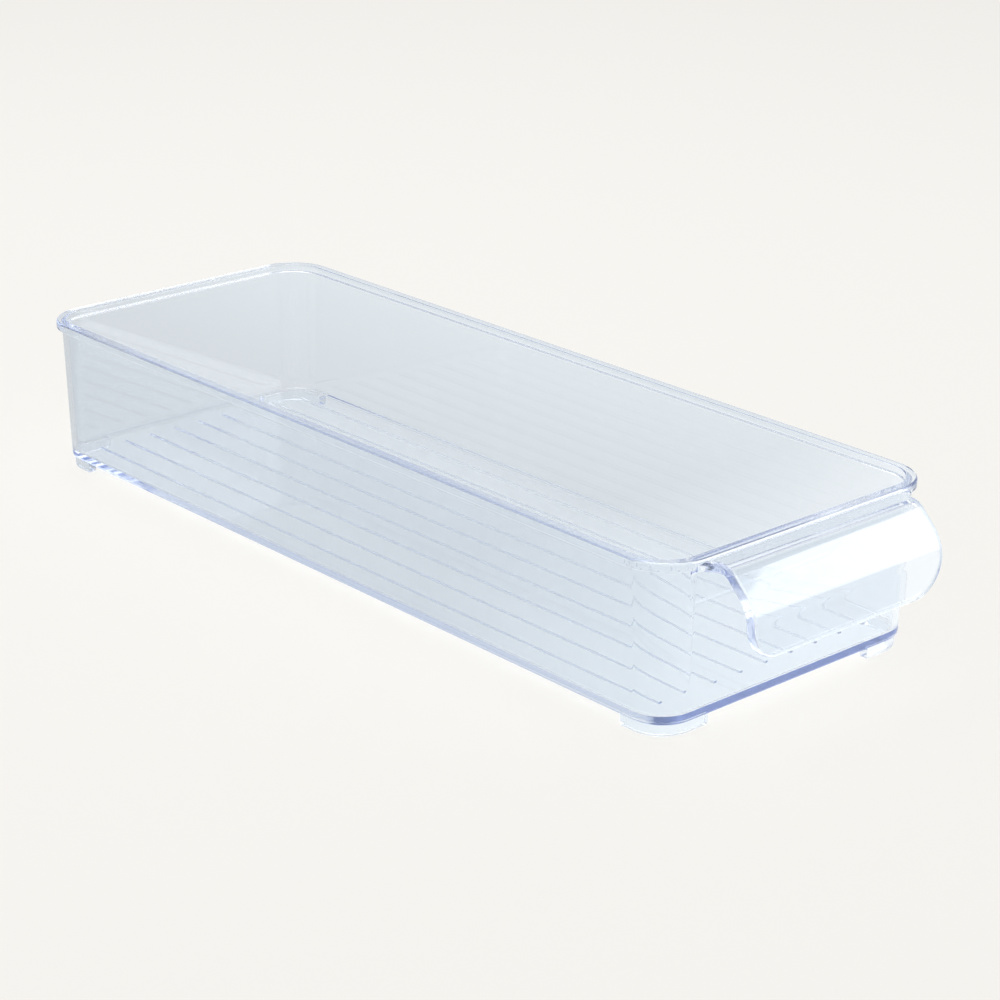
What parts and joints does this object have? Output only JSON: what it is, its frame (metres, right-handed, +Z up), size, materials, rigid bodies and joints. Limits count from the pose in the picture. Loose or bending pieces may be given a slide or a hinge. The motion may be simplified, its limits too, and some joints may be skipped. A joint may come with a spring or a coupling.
{
  "type": "fridge organizer bin",
  "caption": "Long narrow clear fridge bin with an open top, a rimmed edge, floor ribs, corner feet and a wide curved pull handle at the front.",
  "frame": {"origin": "centre of the outline seen from above, on the plane that the feet rest on", "axes": "+Z up; the pull handle is at the front, towards -Y; +X is to the right of someone facing the handle; the left and right halves mirror each other"},
  "size_m": [0.126, 0.361, 0.0596],
  "materials": {
    "clear_plastic": "glossy, clear, with a faint blue cast"
  },
  "bodies": {
    "root": {"tub": "clear_plastic", "rim_flange": "clear_plastic", "pull_handle": "clear_plastic", "front_left_foot": "clear_plastic", "front_right_foot": "clear_plastic", "rear_left_foot": "clear_plastic", "rear_right_foot": "clear_plastic"}
  },
  "joints": []
}
